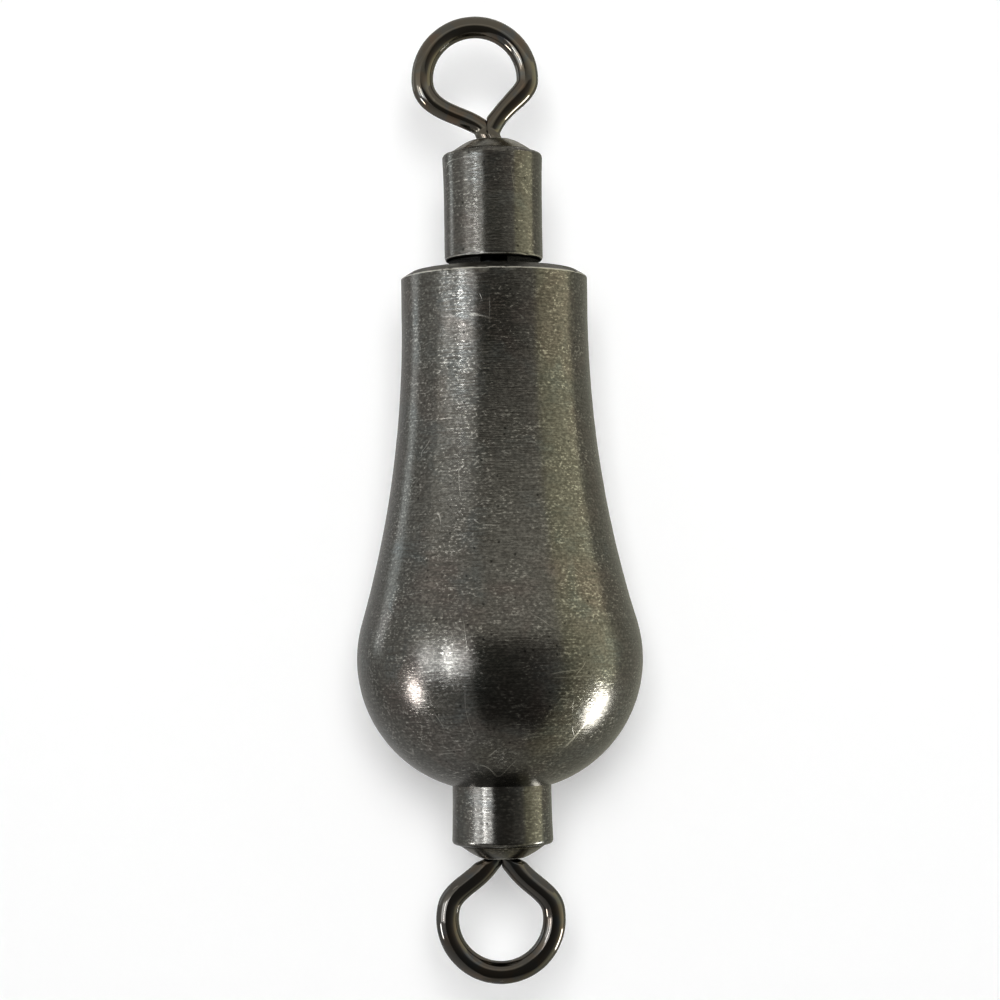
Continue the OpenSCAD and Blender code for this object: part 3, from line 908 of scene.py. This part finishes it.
def turnedTree(s):
    # A turned piece: a grid of profile points by turns round the axis, closed by merging
    tree, given, result = newGroup(
        "turnedPiece",
        [("Profile", "Geometry"), ("Segments", "Int", 192), ("Dent Size", "Float", 0.003),
         ("Dent Depth", "Float", 0.00003), ("Nick Depth", "Float", 0.00005), ("Seed", "Float", 0.0),
         ("Finish", "Material")],
        [("Piece", "Geometry")], "GeometryNodeTree")
    profile = {"Geometry": given["Profile"]}
    count = firstOutput(tree, "GeometryNodeAttributeDomainSize", profile, component="MESH")
    columns = plus(tree, given["Segments"], 1.0)
    grid = {"Vertices X": count, "Vertices Y": columns}
    shell = firstOutput(tree, "GeometryNodeMeshGrid", grid)
    index = addNode(tree, "GeometryNodeInputIndex").outputs[0]
    row = calc(tree, "FLOOR", calc(tree, "DIVIDE", plus(tree, index, 0.5), columns))
    column = minus(tree, index, times(tree, row, columns))
    angle = times(tree, calc(tree, "DIVIDE", column, given["Segments"]), math.tau)

    def sample(kind, value):
        values = {**profile, "Value": value, "Index": row}
        return firstOutput(tree, "GeometryNodeSampleIndex", values, data_type=kind, domain="POINT")

    point = splitVector(tree, sample("FLOAT_VECTOR", herePosition(tree)))
    around = joinVector(tree, times(tree, point[0], calc(tree, "COSINE", angle)),
                        times(tree, point[0], calc(tree, "SINE", angle)), point[2])
    for name in ("edge", "grime", "along"):
        value = sample("FLOAT", namedAttribute(tree, name))
        values = {"Geometry": shell, "Name": name, "Value": value}
        shell = firstOutput(tree, "GeometryNodeStoreNamedAttribute", values, data_type="FLOAT",
                            domain="POINT")
    values = {"Geometry": shell, "Position": around}
    shell = firstOutput(tree, "GeometryNodeSetPosition", values)
    values = {"Geometry": shell, "Distance": s["mergeWithin"] * mm}
    joined = firstOutput(tree, "GeometryNodeMergeByDistance", values)

    # Shallow dents all over and small nicks on the worn edges
    place = vectorCalc(tree, "ADD", herePosition(tree), joinVector(tree, given["Seed"], 0.0, 0.0))
    place = inUnits(tree, place, given["Dent Size"])
    dents = times(tree, noise(tree, place), given["Dent Depth"])
    nicks = ramp(tree, noise(tree, place, s["nickScale"]), *s["nickReach"])
    nicks = times(tree, times(tree, nicks, given["Nick Depth"]), namedAttribute(tree, "edge"))
    worked = pushedIn(tree, joined, plus(tree, dents, nicks))
    feed(tree, result["Piece"], dressed(tree, worked, given["Finish"]))
    return tree


def wireTree():
    # Wire swept along its path, with closed ends
    tree, given, result = newGroup(
        "bentWire",
        [("Path", "Geometry"), ("Wire Radius", "Float", 0.001), ("Section Points", "Int", 56),
         ("Ripple Depth", "Float", 0.00001), ("Ripple Size", "Float", 0.002),
         ("Finish", "Material")],
        [("Piece", "Geometry")], "GeometryNodeTree")
    circle = {"Resolution": given["Section Points"], "Radius": given["Wire Radius"]}
    tube = firstOutput(tree, "GeometryNodeCurveToMesh", {
        "Curve": firstOutput(tree, "GeometryNodeMeshToCurve", {"Mesh": given["Path"]}),
        "Profile Curve": firstOutput(tree, "GeometryNodeCurvePrimitiveCircle", circle),
        "Fill Caps": True,
        "Scale": namedAttribute(tree, "wide"),
    })
    place = inUnits(tree, herePosition(tree), given["Ripple Size"])
    ripple = times(tree, noise(tree, place, 1.0, 1.0), given["Ripple Depth"])
    feed(tree, result["Piece"], dressed(tree, pushedIn(tree, tube, ripple), given["Finish"]))
    return tree


turnedPiece = turnedTree(turnedTreeSet)
bentWire = wireTree()


def pathObject(name, points, **attributes):
    # A chain of edges with values at its points, for a tree to work on
    mesh = bpy.data.meshes.new(name)
    mesh.from_pydata(points, [(i, i + 1) for i in range(len(points) - 1)], [])
    for attributeName, values in attributes.items():
        mesh.attributes.new(attributeName, "FLOAT", "POINT").data.foreach_set("value", values)
    source = bpy.data.objects.new(name, mesh)
    bpy.context.scene.collection.objects.link(source)
    return source


def runTree(name, source, tree, values):
    # Puts the tree on a mesh, sets its inputs by identifier and keeps the result as a plain mesh
    modifier = source.modifiers.new(tree.name, "NODES")
    modifier.node_group = tree
    sockets = [item for item in tree.interface.items_tree if item.in_out == "INPUT"]
    identifiers = {socket.name: socket.identifier for socket in sockets}
    for inputName, value in values.items():
        modifier[identifiers[inputName]] = value
    graph = bpy.context.evaluated_depsgraph_get()
    mesh = bpy.data.meshes.new_from_object(source.evaluated_get(graph))
    mesh.name = name
    bpy.data.objects.remove(source)
    piece = bpy.data.objects.new(name, mesh)
    bpy.context.scene.collection.objects.link(piece)
    return piece


def makeTurned(name, profile, rimZ, side, values):
    # side is 1 for a piece that stands upright and -1 for one that is upside down
    points = [(r * mm, 0, rimZ + side * z * mm) for r, z, mark in profile]
    marks = [mark for r, z, mark in profile]
    turning = sum(a[0] * b[2] - b[0] * a[2] for a, b in zip(points, points[1:] + points[:1]))
    if turning > 0:  # the faces point outwards only where the profile runs down the piece's outside
        points.reverse()
        marks.reverse()
    along = [0.0]
    for a, b in zip(points, points[1:]):
        along.append(along[-1] + math.dist(a, b))
    source = pathObject(name + "Profile", points, edge=[max(0, mark) for mark in marks],
                        grime=[max(0, -mark) for mark in marks], along=along)
    return runTree(name, source, turnedPiece, values)


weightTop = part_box("weight_body")[1].z
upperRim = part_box("upper_barrel")[1].z
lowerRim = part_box("lower_barrel")[0].z

barrelWear = {"Segments": 160, "Dent Size": 2.5 * mm, "Dent Depth": 0.03 * mm,
              "Nick Depth": 0.06 * mm}
bushWear = {"Segments": 144, "Dent Size": 2.0 * mm, "Dent Depth": 0.02 * mm,
            "Nick Depth": 0.03 * mm, "Finish": bushFinish}
turnedSet = {
    "weight": {"Segments": 288, "Dent Size": 3.5 * mm, "Dent Depth": 0.05 * mm,
               "Nick Depth": 0.12 * mm, "Seed": 0.0, "Finish": steelFinish},
    "upperBarrel": {**barrelWear, "Seed": 0.031, "Finish": barrelFinish},
    "lowerBarrel": {**barrelWear, "Seed": 0.057, "Finish": lowerBarrelFinish},
    "upperBush": {**bushWear, "Seed": 0.071},
    "lowerBush": {**bushWear, "Seed": 0.093},
}
weightLine = weightProfile(weightShape, barrelShape)
holedLine, cupLine = barrelProfile(barrelShape, True), barrelProfile(barrelShape, False)
bushLine = bushProfile(bushShape, barrelShape)
weight = makeTurned("weight", weightLine, weightTop, 1, turnedSet["weight"])
upperBarrel = makeTurned("upperBarrel", holedLine, upperRim, 1, turnedSet["upperBarrel"])
lowerBarrel = makeTurned("lowerBarrel", cupLine, lowerRim, -1, turnedSet["lowerBarrel"])
upperBush = makeTurned("upperBush", bushLine, upperRim, 1, turnedSet["upperBush"])
lowerBush = makeTurned("lowerBush", bushLine, lowerRim, -1, turnedSet["lowerBush"])
print("turned pieces made")


# Wire eyes. Heights are above the barrel's rim. Each leg leaves the ring and bends into the shank along
# a Bezier curve: leave is the angle round the ring, pulls are the handles' lengths and neck is the
# curve's end. The legs are drawn thinner than the ring, down to legWide of it.

eyeShape = {
    "wire": 1.0, "ringBore": 3.825, "shank": 1.15, "legMid": 0.12, "faceRound": 0.27,
    "overlap": 0.004, "pressTo": 0.4, "leastAway": 0.01, "leanOver": 0.4, "peenWide": 0.45,
    "peenHigh": 0.45, "peenEdge": 0.05, "footOver": 0.7, "legDrop": 1.0, "legFade": 2.3,
    "legWide": 0.87, "arcSteps": 6, "step": 0.12, "longStep": 0.18,
}
upperEyeShape = {
    **eyeShape, "reach": 6.95, "shift": 1.04, "lean": 0.44, "shankTop": 1.7, "shoulder": 0.5,
    "left": {"leave": 2, "startPull": 3.4, "endPull": 2.2, "neck": 1.5},
    "right": {"leave": 2, "startPull": 1.6, "endPull": 3.1, "neck": 0.8},
}
lowerEyeShape = {
    **eyeShape, "wire": 1.04, "ringBore": 3.79, "reach": 6.715, "shift": 0.15, "lean": 0.12,
    "shankTop": 0.9, "shoulder": 0.85, "legWide": 0.97,
    "left": {"leave": 13, "startPull": 2.5, "endPull": 5.0, "neck": -1.8},
    "right": {"leave": 9, "startPull": 2.4, "endPull": 5.0, "neck": -1.65},
}
wireWork = {"Section Points": 56, "Ripple Depth": 0.012 * mm, "Ripple Size": 1.6 * mm}


def clamped(t):
    return min(1, max(0, t))


def eased(t):
    t = clamped(t)
    return t * t * (3 - 2 * t)


def legPath(s, leg, shift, footZ):
    # From the ring's side down to the shank's foot, on the +X side
    ringMid = s["ringBore"] + s["wire"]
    a = -math.radians(leg["leave"])
    start = Vector((shift + ringMid * math.cos(a), s["reach"] + ringMid * math.sin(a)))
    foot = Vector((s["legMid"], leg["neck"]))
    startHandle = start + Vector((math.sin(a), -math.cos(a))) * leg["startPull"]
    footHandle = foot + Vector((0, leg["endPull"]))
    steps = math.ceil((start - foot).length / s["step"])
    bend = interpolate_bezier(start, startHandle, footHandle, foot, steps)[1:]
    arc = arcPoints(shift, s["reach"], ringMid, 0, -leg["leave"], s["arcSteps"])
    return [p[:2] for p in arc] + [tuple(p) for p in bend] + [(foot.x, footZ)]


def eyePath(s, footZ):
    ringMid = s["ringBore"] + s["wire"]
    steps = math.ceil(math.pi * ringMid / s["step"])
    right = legPath(s, s["right"], -s["shift"], footZ)
    left = [(-x, z) for x, z in legPath(s, s["left"], s["shift"], footZ)]
    ring = [p[:2] for p in arcPoints(-s["shift"], s["reach"], ringMid, 180, 0, steps)]
    path = [(x, z, 0) for x, z in (*reversed(left), *ring, *right)]
    return [p[:2] for p in spread(path, s["longStep"])]


def shapeLegs(piece, s, footZ, rimZ, side):
    # Presses the legs flat against each other, rounds them into one shank with a peened end and leans
    # the ring
    peenTop = footZ + s["peenHigh"]
    mouthLow = bushShape["noseHeight"] - bushShape["mouthDepth"]
    leanLength = s["shankTop"] + s["leanOver"] - mouthLow
    shoulderTop = s["shankTop"] + s["shoulder"]
    soft = s["faceRound"]
    legSides = piece.data.attributes["legSide"].data
    for vertex in piece.data.vertices:
        x, y = vertex.co.x / mm, vertex.co.y / mm
        z = side * (vertex.co.z - rimZ) / mm
        lean = s["lean"] * eased((z - mouthLow) / leanLength)
        if z < s["reach"] - s["ringBore"] * s["pressTo"]:
            sign = -1 if legSides[vertex.index].value < 0 else 1
            x *= sign
            away = math.hypot(x, y)
            if z < shoulderTop and x > 0 and away > s["leastAway"]:
                wide = s["shank"] + s["peenWide"] * clamped((peenTop - z) / s["peenEdge"])
                factor = 1 + (wide / away - 1) * eased((shoulderTop - z) / s["shoulder"])
                x, y = x * factor, y * factor
            over = x + s["overlap"]
            x = (over + math.sqrt(over ** 2 + soft ** 2)) / 2 - soft / 2 * math.exp(-(over / soft) ** 2)
            x = sign * (max(x, 0) - s["overlap"])
        vertex.co.x, vertex.co.y = (x - lean) * mm, y * mm


def makeEye(name, s, rimZ, side, finish):
    # side is 1 for the upper eye and -1 for the lower one, which points down
    footZ = s["footOver"] - barrelShape["length"] / 2
    flat = eyePath(s, footZ)
    points = [(x * mm, 0, rimZ + side * z * mm) for x, z in flat]
    legSide = [-1.0 if i < len(points) // 2 else 1.0 for i in range(len(points))]
    fades = [eased((s["reach"] - s["legDrop"] - z) / s["legFade"]) for x, z in flat]
    wide = [between(1, s["legWide"], fade) for fade in fades]
    source = pathObject(name + "Path", points, legSide=legSide, wide=wide)
    values = {**wireWork, "Wire Radius": s["wire"] * mm, "Finish": finish}
    piece = runTree(name, source, bentWire, values)
    shapeLegs(piece, s, footZ, rimZ, side)
    return piece


upperEye = makeEye("upperEye", upperEyeShape, upperRim, 1, upperWire)
lowerEye = makeEye("lowerEye", lowerEyeShape, lowerRim, -1, lowerWire)
print("wire eyes made")


# What rides on what, and which CAD nodes the pieces stand for

pieceTable = [
    (weight, "weight", "weight_body", "weight_steel"),
    (upperBarrel, "upper_barrel", "upper_barrel", "barrel_steel"),
    (lowerBarrel, "weight", "lower_barrel", "barrel_steel"),
    (upperBush, "upper_barrel", "upper_nose_bush", "bush_steel"),
    (lowerBush, "weight", "lower_nose_bush", "bush_steel"),
    (upperEye, "upper_eye", "upper_eye", "eye_wire"),
    (lowerEye, "lower_eye", "lower_eye", "eye_wire"),
]
for piece, body, node, slotName in pieceTable:
    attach(piece, body)
    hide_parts(node)

keptNodes = {
    "swivel_pin": pinShadeSteel, "upper_head_collar": innerSteel, "lower_head_collar": innerSteel,
    "upper_thrust_washer": washerBrass, "lower_thrust_washer": washerBrass,
    "pin_thrust_washer": washerBrass,
}
for node, finish in keptNodes.items():
    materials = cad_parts[node].data.materials
    materials.clear()
    materials.append(finish)
print("pieces ride on their bodies")
